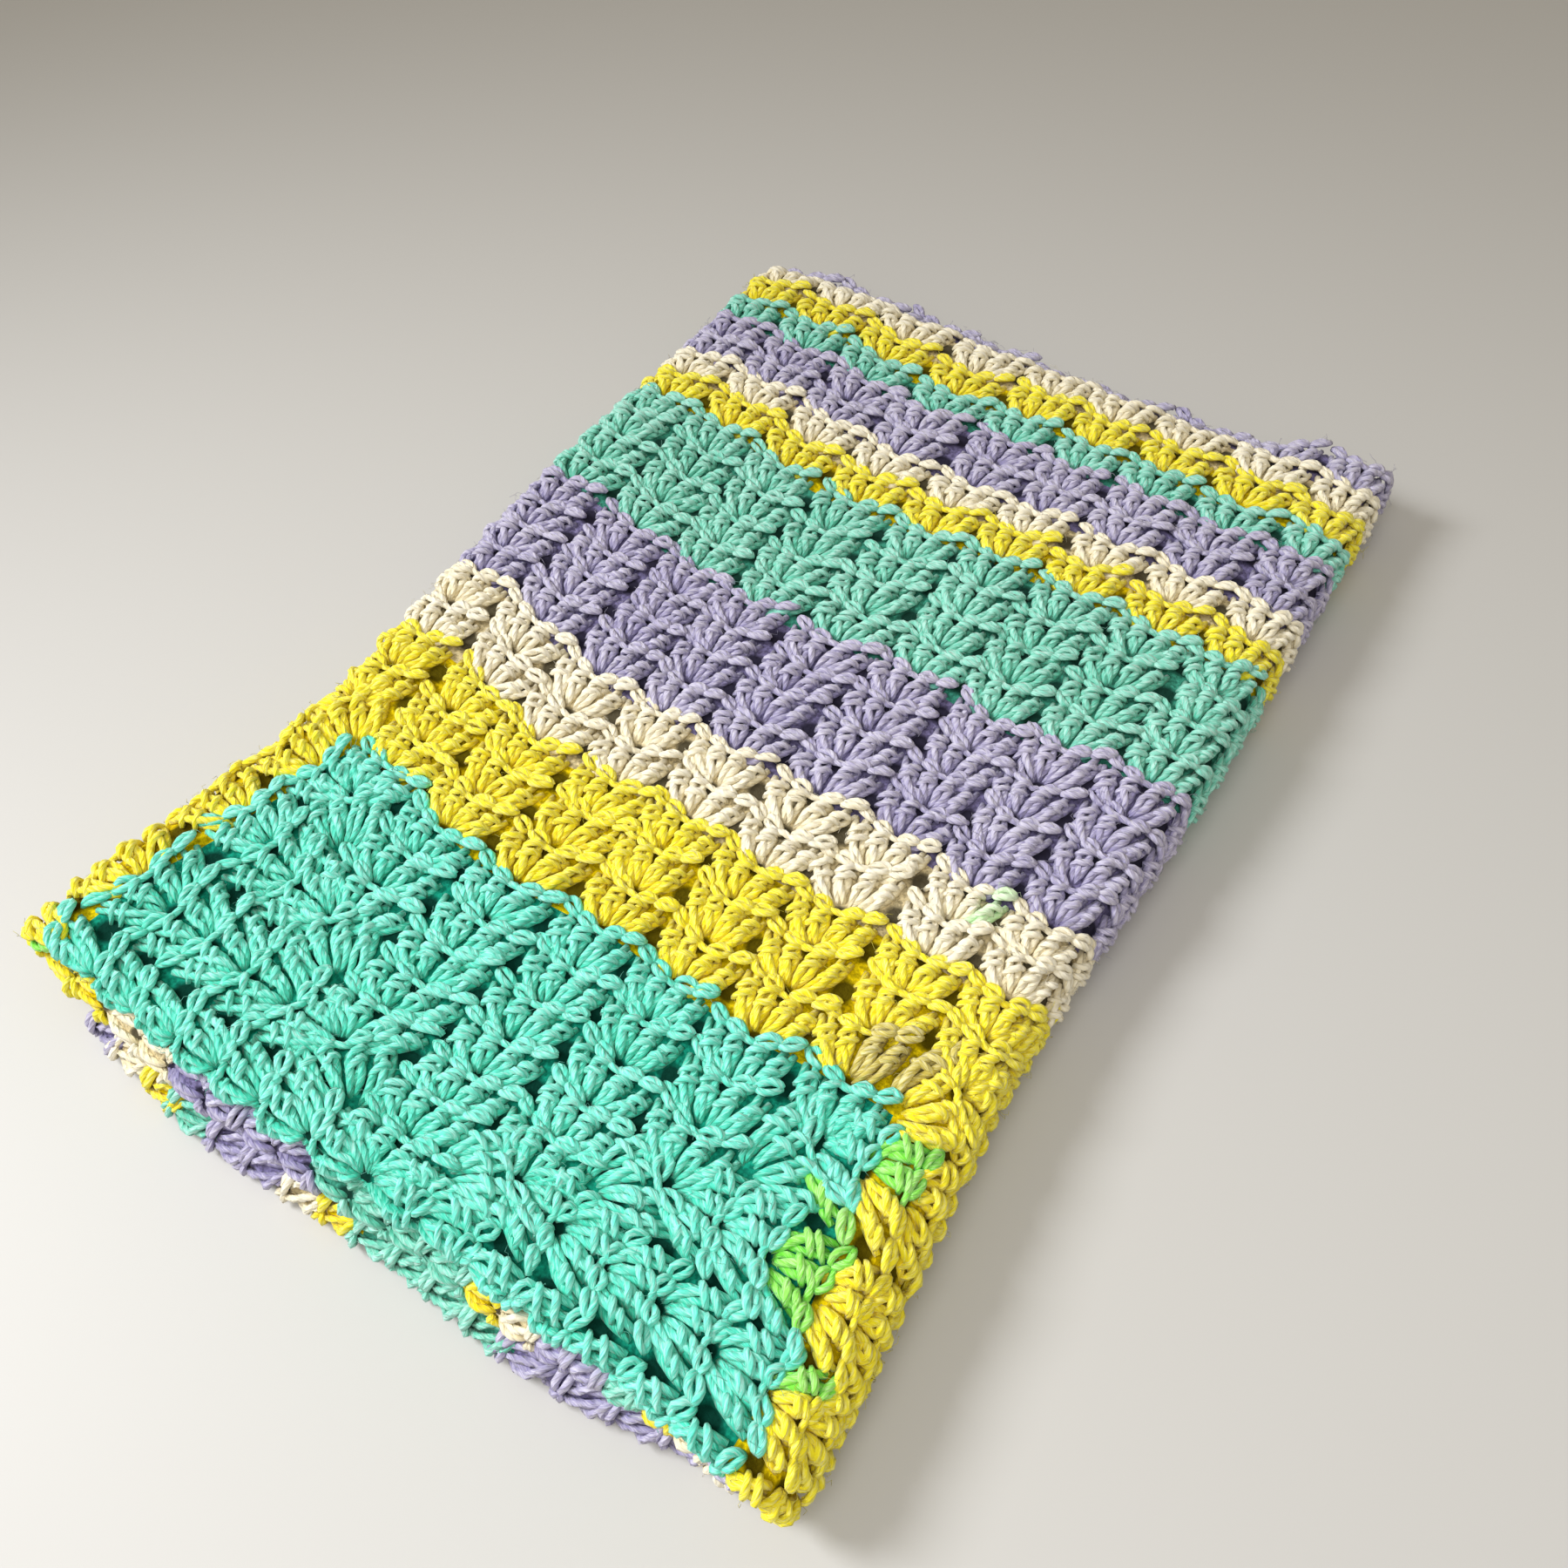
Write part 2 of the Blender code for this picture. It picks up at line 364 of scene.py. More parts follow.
# The halves of a V loop: how far out they reach and how high they are. Their points are across, out,
# the shares of the reach, of the climb and of the height, and what is added to the height.
LOOP_FRONT = (-0.06, 1.6)
LOOP_BACK = (0.14, 1.0)
LOOP_LINE = (
    (-0.112, 0.04, 0.0, -1.0, 0.0, -0.1),
    (-0.070, 0.0, 0.7, -0.6, 1.0, -0.3),
    (0.0, 0.0, 1.0, 0.0, 1.0, 0.0),
    (0.075, 0.0, 0.7, 0.6, 1.0, -0.1),
    (0.112, 0.05, 0.0, 1.0, 0.0, 0.2),
)
LOOP_RADII = (0.78, 0.98, 1.08, 1.00, 0.82)

# The strand that joins the two middle loops, and the post that it takes its colour from.
CHAIN_PATH = (
    (-0.12, 1.02, -0.1),
    (-0.06, 1.00, 0.8),
    (0.0, 0.99, 1.0),
    (0.06, 1.00, 0.8),
    (0.12, 1.02, -0.1),
)
CHAIN_RADII = (0.70, 0.90, 1.00, 0.90, 0.70)
CHAIN_POST = 1

# Short changes of colour where one yarn was joined to the next. The key is where the middle of the
# shell is, in half rounds across and along from the centre of the square; then come the yarn and the
# posts that are made of it.
CHANGE_YARNS = ("lime", "olive", "pale_green")
COLOUR_CHANGES = {
    (13, 8): ("lime", (0, 1, 2)),
    (13, 12): ("lime", (3,)),
    (15, 4): ("lime", (0,)),
    (15, 12): ("lime", (0, 1)),
    (12, 15): ("olive", (2, 3)),
    (15, 15): ("olive", (0,)),
    (12, 23): ("pale_green", (3,)),
    (-15, 0): ("lime", (1,)),
}


def post_paths(line, side, phase):
    """The strands of one post, laid round its centre line."""
    centre = np.array(line) * (side, 1)
    flat = centre * (SHELL_PITCH, ROUND_HEIGHT)
    direction = np.gradient(flat, axis=0)
    direction = direction / np.linalg.norm(direction, axis=1, keepdims=True)
    sideways = np.stack([direction[:, 1] / SHELL_PITCH, -direction[:, 0] / ROUND_HEIGHT], axis=1)
    rise = np.linspace(0, 1, len(centre))
    paths = []
    for strand in range(POST_STRANDS):
        angle = 2 * math.pi * (strand / POST_STRANDS + POST_TWIST * rise + phase)
        shift = MILLIMETRE * np.array(POST_SPREAD) * np.cos(angle)
        height = POST_HEIGHTS + POST_FLATNESS * np.array(POST_SPREAD) * np.sin(angle)
        paths.append(np.column_stack([centre + shift[:, None] * sideways, height]))
    return paths


def wrap_path(place, lean, further):
    """Yarn that crosses a post aslant, from its lower left to its upper right."""
    across, out = place
    across, out = across * (1 + WRAP_FAN * further), out + further
    slant = WRAP_SLANT * across
    return [
        (across + aside, out + up + slant * slanted, height + share * lean)
        for aside, up, slanted, height, share in WRAP_LINE
    ]


def loop_path(place, climb, lean, half):
    """The front or back half of the V loop that closes the top of a post."""
    across, out = place
    reach, height = half
    return [
        (
            across + aside,
            out + up + reached * reach + climbed * climb,
            raised * height + added + lean,
        )
        for aside, up, reached, climbed, raised, added in LOOP_LINE
    ]


def shell_strands():
    """Control points, radii and post of every strand of one shell, the plainest part first."""
    strands = []
    for post, (line, side, phase) in enumerate(POST_LINES):
        for path in post_paths(line, side, phase):
            strands.append((path, STRAND_RADII_UP_POST, post))
    for post, (_, loop, climb, lean) in enumerate(POSTS):
        for half in (LOOP_FRONT, LOOP_BACK):
            strands.append((loop_path(loop, climb, lean, half), LOOP_RADII, post))
    for further in WRAP_ROWS:
        for post, (wrap, _, _, lean) in enumerate(POSTS):
            strands.append((wrap_path(wrap, lean, further), WRAP_RADII, post))
    strands.append((CHAIN_PATH, CHAIN_RADII, CHAIN_POST))
    return [np.array(column) for column in zip(*strands)]


STRAND_PATHS, STRAND_RADII, STRAND_POSTS = shell_strands()
PATH_POINTS = STRAND_PATHS.shape[1]

# The strands that come first are the posts and the two halves of each loop.
PLAIN_STRANDS = len(POSTS) * (POST_STRANDS + 2)

# How finely each part of the throw is drawn: points along a strand, sides of a tube, strands used
# and loose fibres on each shell.
FINE = (7, 6, len(STRAND_PATHS), 14)
MEDIUM = (6, 5, PLAIN_STRANDS, 0)
COARSE = (5, 4, PLAIN_STRANDS, 0)

# How uneven the stitches are. The stray of a strand is across in shell pitches, out in rounds and up
# in millimetres, and its whole and each of its points take a share of it.
STRAY = np.array([0.012, 0.025, 0.28])
STRAND_SHARE = 0.6
POINT_SHARE = 0.45
RADIUS_SPREAD = 0.06

# The same for a whole shell: its turn, its place, its size, and its height in millimetres.
SHELL_TURN = 0.06
SHELL_STRAY = 0.00045
SHELL_SIZE_SPREAD = 0.03
SHELL_LIFT_SPREAD = 0.15

# Each strand's tint is part its own and part its shell's. Its plies start anywhere in this length.
STRAND_TINT = 0.6
SHELL_TINT = 0.6
PLY_START = 0.01

# A step off the cloth, to find which way is up, and the shortest vector that still has a direction.
STEP_UP = 0.0004
NO_LENGTH = 1e-9

# Loose fibres: how long they are, how far they stand off the yarn and the shape of their arch. They
# start at this share of the yarn's radius, point mostly along it, wander by this much, and are painted
# with the light and shade of yarn this many millimetres up.
FIBRE_LENGTHS = (0.0016, 0.0040)
FIBRE_RISES = (0.0002, 0.0010)
FIBRE_ARCH = (-0.3, 0.7, 1.0, 0.6)
FIBRE_ROOT = 0.9
FIBRE_SIDEWAYS = 0.8
FIBRE_BEND = 0.0004
FIBRE_RADIUS = 0.00006
FIBRE_SIDES = 3
FIBRE_DEPTH = 2.4

# Columns of the array of shells: where its base is, which way it points, the factors of its
# length and width, and its round.
BASE = slice(0, 2)
OUTWARD = slice(2, 4)
LENGTH = 4
WIDTH = 5
LEVEL = 6

# Length and width factors of a shell on a side and in a corner of the square. The border's corner is
# smaller, because its outer posts would otherwise stand out past the hem.
SIDE_SHELL = (1.0, 1.0)
CORNER_SHELL = (1.34, 0.95)
BORDER_CORNER_SHELL = (0.92, 0.75)


def spline_weights(points, samples):
    """Matrix that turns control points into points on the Catmull-Rom curve through them."""
    weights = np.zeros((samples, points))
    for row, position in enumerate(np.linspace(0, points - 1, samples)):
        start = min(int(position), points - 2)
        t = position - start
        factors = (
            -0.5 * t + t**2 - 0.5 * t**3,
            1 - 2.5 * t**2 + 1.5 * t**3,
            0.5 * t + 2 * t**2 - 1.5 * t**3,
            -0.5 * t**2 + 0.5 * t**3,
        )
        for step, factor in zip((-1, 0, 1, 2), factors):
            weights[row, min(max(start + step, 0), points - 1)] += factor
    return weights


def all_shells():
    """Base point, outward direction, length and width factors and round of every shell."""
    rows = []
    for level in range(ROUNDS):
        half_count = level // 2
        for quarter in range(4):
            out = (math.sin(quarter * math.pi / 2), math.cos(quarter * math.pi / 2))
            side = (out[1], -out[0])
            for column in range(-half_count, half_count + 1):
                across, away = column * SHELL_PITCH, level * ROUND_HEIGHT
                base = [across * side[i] + away * out[i] for i in (0, 1)]
                rows.append((*base, *out, *SIDE_SHELL, level))
            if level % 2:
                diagonal = ((out[0] + side[0]) / math.sqrt(2), (out[1] + side[1]) / math.sqrt(2))
                corner = level * ROUND_HEIGHT * math.sqrt(2)
                base = [corner * diagonal[i] for i in (0, 1)]
                size = BORDER_CORNER_SHELL if level == ROUNDS - 1 else CORNER_SHELL
                rows.append((*base, *diagonal, *size, level))
    return np.array(rows)


def place_strands(shells, samples, strands):
    """Centre lines on the flat square of every strand of these shells, with heights in metres."""
    count = len(shells)
    paths = np.broadcast_to(STRAND_PATHS[:strands], (count, strands, PATH_POINTS, 3)).copy()
    paths += rng.normal(0, 1, (count, strands, 1, 3)) * STRAY * STRAND_SHARE
    paths += rng.normal(0, 1, (count, strands, PATH_POINTS, 3)) * STRAY * POINT_SHARE
    weights = spline_weights(PATH_POINTS, samples)
    lines = np.einsum("sp,ctpk->ctsk", weights, paths)
    base, out = shells[:, BASE], shells[:, OUTWARD]
    turn = rng.normal(0, SHELL_TURN, count)
    turned = np.stack(
        [
            out[:, 0] * np.cos(turn) + out[:, 1] * np.sin(turn),
            out[:, 1] * np.cos(turn) - out[:, 0] * np.sin(turn),
        ],
        axis=-1,
    )
    side = np.stack([turned[:, 1], -turned[:, 0]], axis=-1)
    base = base + rng.normal(0, SHELL_STRAY, (count, 2))
    length = shells[:, LENGTH] * ROUND_HEIGHT * rng.normal(1, SHELL_SIZE_SPREAD, count)
    width = shells[:, WIDTH] * SHELL_PITCH * rng.normal(1, SHELL_SIZE_SPREAD, count)
    across = lines[..., 0] * width[:, None, None]
    away = lines[..., 1] * length[:, None, None]
    flat = base[:, None, None, :] + across[..., None] * side[:, None, None, :]
    flat = flat + away[..., None] * turned[:, None, None, :]
    lift = (lines[..., 2] + rng.normal(0, SHELL_LIFT_SPREAD, (count, 1, 1))) * MILLIMETRE
    radii = np.einsum("sp,tp->ts", weights, STRAND_RADII[:strands]) * MILLIMETRE
    radii = radii * rng.normal(1, RADIUS_SPREAD, (count, strands, 1))
    return flat[..., 0], flat[..., 1], lift, radii


def unit(vectors):
    """These vectors at a length of 1."""
    return vectors / np.maximum(np.linalg.norm(vectors, axis=-1, keepdims=True), NO_LENGTH)


def above_table(points):
    """Presses points that would sink into the table flat on it."""
    points[..., 2] = PRESS * np.log1p(np.exp(points[..., 2] / PRESS))
    return points


def changed_yarn(shells):
    """The yarn of each strand of these shells: 0 for the band's own, from 1 for CHANGE_YARNS."""
    yarns = np.zeros((len(shells), len(STRAND_POSTS)), int)
    places = 2 * shells[:, BASE] / ROUND_HEIGHT + shells[:, OUTWARD]
    places = np.rint(places).astype(int)
    for place, (yarn, posts) in COLOUR_CHANGES.items():
        here = (places == place).all(axis=1)
        yarns[np.ix_(here, np.isin(STRAND_POSTS, posts))] = 1 + CHANGE_YARNS.index(yarn)
    return yarns


def tube_pattern(samples, sides):
    """Corners and sizes of the faces of one closed tube, and the ring and turn of each corner."""
    corners, sizes, rings, turns = [], [], [], []
    for ring in range(samples - 1):
        for side in range(sides):
            for ring_step, side_step in ((0, 0), (0, 1), (1, 1), (1, 0)):
                corners.append((ring + ring_step) * sides + (side + side_step) % sides)
                rings.append(ring + ring_step)
                turns.append((side + side_step) / sides)
            sizes.append(4)
    for ring, order in ((0, reversed(range(sides))), (samples - 1, range(sides))):
        for side in order:
            corners.append(ring * sides + side)
            rings.append(ring)
            turns.append(side / sides)
        sizes.append(sides)
    return [np.array(values) for values in (corners, sizes, rings, turns)]


def tubes(lines, above, radii, sides):
    """Closed tubes round these lines, as the arrays that yarn_mesh takes, and each line's axes.

    The last thing returned says how high each side of a tube is, from -1 to 1 radius.
    """
    tangent = unit(np.gradient(lines, axis=1))
    sideways = unit(np.cross(tangent, unit(above - lines)))
    upward = np.cross(sideways, tangent)
    angle = 2 * math.pi * np.arange(sides) / sides
    ring = np.cos(angle)[:, None] * sideways[..., None, :]
    ring = ring + np.sin(angle)[:, None] * upward[..., None, :]
    points = above_table(lines[..., None, :] + radii[..., None, None] * ring)

    count, samples, _ = lines.shape
    start = rng.uniform(0, PLY_START, (count, 1))
    steps = np.linalg.norm(np.diff(lines, axis=1), axis=-1)
    travelled = np.concatenate([start, start + np.cumsum(steps, axis=1)], axis=1)
    corners, sizes, rings, turns = tube_pattern(samples, sides)
    first_point = samples * sides * np.arange(count)[:, None]
    u = travelled[:, rings]
    v = np.broadcast_to(turns, u.shape)
    arrays = {
        "points": points.reshape(-1, 3),
        "corners": (corners + first_point).ravel(),
        "sizes": np.tile(sizes, count),
        "uv": np.stack([u, v], axis=-1).reshape(-1, 2),
    }
    return arrays, (tangent, sideways, upward), np.sin(angle)


def faces_of_tube(samples, sides):
    """How many faces a closed tube has, its two ends included."""
    return (samples - 1) * sides + 2


def loose_fibres(lines, radii, axes, yarns, count):
    """Thin fibres that stand off these lines of yarn, as the arrays that yarn_mesh takes."""
    tangent, sideways, upward = axes
    chosen = rng.integers(0, len(lines), count)
    place = rng.integers(1, lines.shape[1] - 1, count)
    here = (chosen, place)
    aim = rng.normal(size=(2, count, 1))
    heading = unit(aim[0] * tangent[here] + FIBRE_SIDEWAYS * aim[1] * sideways[here])
    length = rng.uniform(*FIBRE_LENGTHS, (count, 1))
    rise = rng.uniform(*FIBRE_RISES, (count, 1))
    bend = rng.normal(0, FIBRE_BEND, (len(FIBRE_ARCH), count, 3))
    points = []
    for step, arch in enumerate(FIBRE_ARCH):
        point = lines[here] + upward[here] * (FIBRE_ROOT * radii[here][:, None] + arch * rise)
        point = point + heading * length * step / (len(FIBRE_ARCH) - 1)
        points.append(point + bend[step] * (step > 0))
    fibres = np.stack(points, axis=1)
    above = fibres + upward[here][:, None, :]
    thickness = np.full(fibres.shape[:2], FIBRE_RADIUS)
    arrays, _, _ = tubes(fibres, above, thickness, FIBRE_SIDES)
    arrays["yarns"] = np.repeat(yarns[chosen], faces_of_tube(len(FIBRE_ARCH), FIBRE_SIDES))
    arrays["depth"] = np.full(len(arrays["points"]), FIBRE_DEPTH)
    arrays["tint"] = np.zeros(len(arrays["points"]))
    return arrays


def sweep(shells, level_of_detail):
    """The tubes of yarn and the loose fibres of these shells, as the arrays that yarn_mesh takes."""
    samples, sides, strands, fibres_on_shell = level_of_detail
    count = len(shells)
    across, along, lift, radii = place_strands(shells, samples, strands)
    flat_shape = (count * strands, samples)
    lines = fold(across, along, lift).reshape(*flat_shape, 3)
    above = fold(across, along, lift + STEP_UP).reshape(*flat_shape, 3)
    radii, lift = radii.reshape(flat_shape), lift.reshape(flat_shape)
    arrays, axes, height = tubes(lines, above, radii, sides)
    tint = STRAND_TINT * rng.normal(size=(count, strands))
    tint = tint + SHELL_TINT * rng.normal(size=(count, 1))
    yarns = changed_yarn(shells)[:, :strands].ravel()
    arrays["yarns"] = np.repeat(yarns, faces_of_tube(samples, sides))
    # Each point's height in the stitch, in millimetres, which sets how much painted shade the yarn
    # gets.
    arrays["depth"] = ((lift[..., None] + radii[..., None] * height) / MILLIMETRE).ravel()
    arrays["tint"] = np.repeat(tint.ravel(), samples * sides)
    if not fibres_on_shell:
        return arrays
    return join([arrays, loose_fibres(lines, radii, axes, yarns, count * fibres_on_shell)])


def join(parts):
    """One set of arrays from several, with the face corners renumbered."""
    start = 0
    for part in parts:
        part["corners"] = part["corners"] + start
        start += len(part["points"])
    return {key: np.concatenate([part[key] for part in parts]) for key in parts[0]}


def yarn_mesh(name, arrays):
    """A mesh of the swept tubes, with the yarn coordinates and the depth and tint of each point."""
    mesh = bpy.data.meshes.new(name)
    mesh.vertices.add(len(arrays["points"]))
    mesh.vertices.foreach_set("co", arrays["points"].astype(np.float32).ravel())
    mesh.loops.add(len(arrays["corners"]))
    mesh.loops.foreach_set("vertex_index", arrays["corners"].astype(np.int32))
    mesh.polygons.add(len(arrays["sizes"]))
    starts = np.cumsum(arrays["sizes"]) - arrays["sizes"]
    mesh.polygons.foreach_set("loop_start", starts.astype(np.int32))
    mesh.polygons.foreach_set("loop_total", arrays["sizes"].astype(np.int32))
    mesh.polygons.foreach_set("material_index", arrays["yarns"].astype(np.int32))
    mesh.update(calc_edges=True)
    layer = mesh.uv_layers.new(name="yarn")
    layer.data.foreach_set("uv", arrays["uv"].astype(np.float32).ravel())
    for key in ("depth", "tint"):
        attribute = mesh.attributes.new(key, "FLOAT", "POINT")
        attribute.data.foreach_set("value", arrays[key].astype(np.float32))
    mesh.shade_smooth()
    return mesh


# Yarn colours: the lit colour, and the painted shade colour that the yarn takes between the stitches.
YARNS = {
    "teal": ((0.235, 0.805, 0.685), (0.008, 0.320, 0.215)),
    "yellow": ((0.940, 0.855, 0.050), (0.760, 0.570, 0.002)),
    "cream": ((0.930, 0.880, 0.730), (0.760, 0.640, 0.380)),
    "lavender": ((0.550, 0.525, 0.690), (0.210, 0.185, 0.360)),
    "mint": ((0.345, 0.750, 0.640), (0.060, 0.350, 0.250)),
    "lime": ((0.400, 0.860, 0.200), (0.060, 0.330, 0.010)),
    "olive": ((0.720, 0.640, 0.230), (0.300, 0.230, 0.030)),
    "pale_green": ((0.740, 0.930, 0.660), (0.500, 0.700, 0.340)),
}

# The yarns of the bands. The others are only in the changes of colour.
CORE_YARNS = ("teal", "yellow", "cream", "lavender", "mint")

# In the materials, a _NOISE is a scale and a detail, and a _RANGE maps what lies between its first
# two numbers to what lies between its last two. The plies turn once round the yarn in PLY_TURN.
PLIES = 4
PLY_TURN = 0.0110
PLY_NOISE = (260.0, 2.0)
PLY_WOBBLE = 0.5
FIBRE_NOISE = (1.0, 3.0)
FIBRES_ALONG = 520.0
FIBRES_ROUND = 18.0

# How light the yarn is painted: painted shade by how high it stands in the stitch and in the grooves
# between its plies, its fibres, darker at random, and the tint of the strand.
DEPTH_RANGE = (-1.3, 2.3, 0.0, 1.0)
DEPTH_POWER = 0.8
GROOVE_RANGE = (0.0, 0.75, 0.78, 1.0)
FIBRE_RANGE = (0.36, 0.50, 0.80, 1.0)
TINT_STRENGTH = 0.05

# What that painted light and shade does to the colour, which fibres get painted glints, and how much
# paler those painted highlights are.
GAMMA_RANGE = (0.0, 1.0, 3.0, 1.0)
LIT_RANGE = (0.0, 0.6, 0.35, 1.0)
GLINT_RANGE = (0.49, 0.62, 0.0, 0.85)
PAINTED_GLINT_PALENESS = 0.26

# The relief of the plies and the fibres, and how rough and shiny the yarn is.
YARN_RELIEF = 0.0004
YARN_RELIEF_STRENGTH = 0.7
FIBRE_RELIEF_SHARE = 1.5
ROUGHNESS_RANGE = (0.3, 0.7, 0.70, 0.92)
YARN_SURFACE = {"Specular IOR Level": 0.25, "Sheen Weight": 0.22, "Sheen Roughness": 0.5}

# The back of the stitches, coloured in painted shade: radii of the holes that show between them, where
# the side holes are in their round, how soft the edges of the holes are, and how much of the shade
# colour is left there in the painted darker shade of the holes.
BASE_HOLE = 0.0024
SIDE_HOLE = 0.0034
SIDE_HOLE_ROW = 0.56
HOLE_RANGE = (0.5, 1.4, 0.0, 1.0)
HOLE_SHADE = 0.10
SPECKLE_NOISE = (900.0, 3.0)
SPECKLE_RANGE = (0.35, 0.65, 0.0, 1.0)
SPECKLE_SHADE = 0.45
CORE_RELIEF = 0.0008
CORE_RELIEF_STRENGTH = 1.0
CORE_SURFACE = {"Roughness": 1.0, "Specular IOR Level": 0.1}


class Nodes:
    """Short calls for building one material's node tree."""

    def __init__(self, name):
        self.material = bpy.data.materials.new(name)
        self.material.use_nodes = True
        self.tree = self.material.node_tree
        self.shader = self.tree.nodes["Principled BSDF"]

    def link(self, source, target):
        """Feeds a socket with a number or with another socket."""
        if isinstance(source, (int, float)):
            target.default_value = source
        else:
            self.tree.links.new(source, target)

    def node(self, kind, **settings):
        node = self.tree.nodes.new(kind)
        for key, value in settings.items():
            setattr(node, key, value)
        return node

    def maths(self, operation, first, second=0.0, clamp=False):
        node = self.node("ShaderNodeMath", operation=operation, use_clamp=clamp)
        self.link(first, node.inputs[0])
        self.link(second, node.inputs[1])
        return node.outputs[0]

    def attribute(self, name):
        return self.node("ShaderNodeAttribute", attribute_name=name).outputs["Fac"]

    def coordinates(self, uv_map):
        """The two numbers of a UV map."""
        axes = self.node("ShaderNodeSeparateXYZ")
        self.link(self.node("ShaderNodeUVMap", uv_map=uv_map).outputs["UV"], axes.inputs[0])
        return axes.outputs["X"], axes.outputs["Y"]

    def noise(self, scale, detail, vector=None):
        node = self.node("ShaderNodeTexNoise")
        node.inputs["Scale"].default_value = scale
        node.inputs["Detail"].default_value = detail
        if vector is None:
            vector = self.node("ShaderNodeTexCoord").outputs["Object"]
        self.link(vector, node.inputs["Vector"])
        return node.outputs[0]

    def spread(self, value, *ends):
        """The value mapped from between the first two of the ends to between the last two."""
        node = self.node("ShaderNodeMapRange")
        self.link(value, node.inputs["Value"])
        for socket, number in zip(("From Min", "From Max", "To Min", "To Max"), ends):
            node.inputs[socket].default_value = number
        return node.outputs[0]

    def mix(self, share, first, second):
        node = self.node("ShaderNodeMix", data_type="RGBA", blend_type="MIX")
        self.link(share, node.inputs["Factor"])
        for source, target in ((first, node.inputs["A"]), (second, node.inputs["B"])):
            if isinstance(source, tuple):
                target.default_value = (*source, 1.0)
            else:
                self.tree.links.new(source, target)
        return node.outputs["Result"]

    def emboss(self, height, strength, distance):
        """Gives the surface a relief."""
        bumps = self.node("ShaderNodeBump")
        bumps.inputs["Strength"].default_value = strength
        bumps.inputs["Distance"].default_value = distance
        self.link(height, bumps.inputs["Height"])
        self.link(bumps.outputs[0], self.shader.inputs["Normal"])

    def finish(self, surface):
        """Sets what is the same all over the surface, and hands the material over."""
        for socket, value in surface.items():
            self.shader.inputs[socket].default_value = value
        return self.material


def core_material(yarn):
    """The yarn at the back of the stitches, coloured in painted shade: shaded between the strands and
    painted dark in the holes.
    """
    _, painted_shade = YARNS[yarn]
    nodes = Nodes(f"{yarn}_core")
    sides = [nodes.maths("ABSOLUTE", side) for side in nodes.coordinates("flat")]
    column = nodes.maths("MULTIPLY", nodes.maths("MINIMUM", *sides), 1 / SHELL_PITCH)
    row = nodes.maths("MULTIPLY", nodes.maths("MAXIMUM", *sides), 1 / ROUND_HEIGHT)

    def hole(column_offset, row_offset, size):
        """1 outside the holes that repeat at this place in every shell, falling to 0 inside, where the
        holes get painted shade.
        """
        aside = nodes.maths("PINGPONG", nodes.maths("ADD", column, column_offset), 0.5)
        below = nodes.maths("PINGPONG", nodes.maths("ADD", row, row_offset), 0.5)
        aside = nodes.maths("MULTIPLY", aside, SHELL_PITCH / size)
        below = nodes.maths("MULTIPLY", below, ROUND_HEIGHT / size)
        squares = [nodes.maths("MULTIPLY", value, value) for value in (aside, below)]
        return nodes.spread(nodes.maths("ADD", *squares), *HOLE_RANGE)

    base_holes = hole(0.0, 0.0, BASE_HOLE)
    side_holes = hole(0.5, 1 - SIDE_HOLE_ROW, SIDE_HOLE)
    # Painted shade: the band's shade colour, darker in random speckles, and darker still in the holes.
    speckle = nodes.noise(*SPECKLE_NOISE)
    shaded = tuple(value * SPECKLE_SHADE for value in painted_shade)
    colour = nodes.mix(nodes.spread(speckle, *SPECKLE_RANGE), shaded, painted_shade)
    painted_hole_shade = tuple(value * HOLE_SHADE for value in painted_shade)
    colour = nodes.mix(nodes.maths("MULTIPLY", base_holes, side_holes), painted_hole_shade, colour)
    nodes.link(colour, nodes.shader.inputs["Base Color"])
    nodes.emboss(speckle, CORE_RELIEF_STRENGTH, CORE_RELIEF)
    return nodes.finish(CORE_SURFACE)


